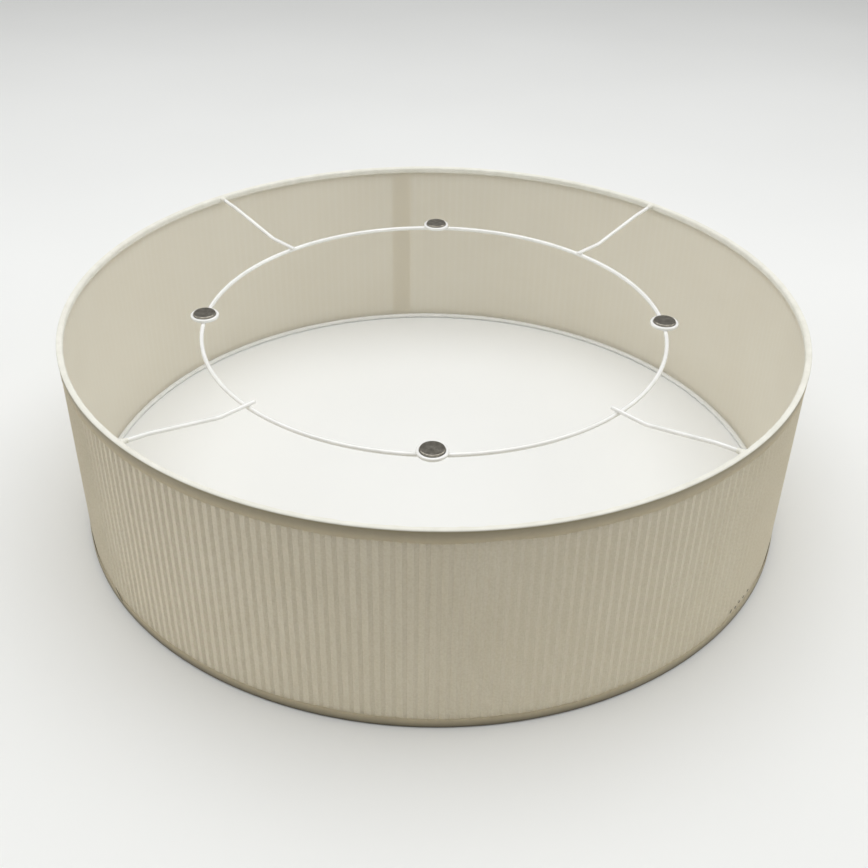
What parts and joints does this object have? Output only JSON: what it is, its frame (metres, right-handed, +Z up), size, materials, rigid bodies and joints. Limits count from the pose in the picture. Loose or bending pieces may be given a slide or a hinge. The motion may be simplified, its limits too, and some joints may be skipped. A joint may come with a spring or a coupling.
{
  "type": "lamp shade",
  "caption": "Shallow drum lamp shade with a pleated fabric cover, taped wire rims and a spoked drop ring that carries magnets for hanging it under a ceiling light.",
  "frame": {"origin": "centre of the circle that the lower edge stands on", "axes": "+Z up along the drum's axis, towards the edge that holds the drop ring; +X and +Y each through a magnet cup; the panel's lap is 7 degrees past +Y"},
  "size_m": [0.6, 0.6, 0.175],
  "materials": {
    "pleated_fabric": "knife-pleated matt polyester-cotton",
    "laminate": "smooth translucent lampshade laminate",
    "adhesive_tape": "double-sided transfer tape",
    "trim_tape": "plain-woven self-fabric tape",
    "coated_wire": "white gloss powder coat",
    "bare_wire": "drawn steel",
    "nickel": "nickel plate"
  },
  "bodies": {
    "root": {"pleated_cover": "pleated_fabric", "backing_panel": "laminate", "seam_tape": "adhesive_tape", "top_trim": "trim_tape", "bottom_trim": "trim_tape", "top_ring": "bare_wire", "bottom_ring": "bare_wire", "drop_ring": "coated_wire", "spoke_northeast": "coated_wire", "spoke_northwest": "coated_wire", "spoke_southwest": "coated_wire", "spoke_southeast": "coated_wire", "magnet_cup_east": "coated_wire", "magnet_cup_north": "coated_wire", "magnet_cup_west": "coated_wire", "magnet_cup_south": "coated_wire", "magnet_east": "nickel", "magnet_north": "nickel", "magnet_west": "nickel", "magnet_south": "nickel"}
  },
  "joints": []
}
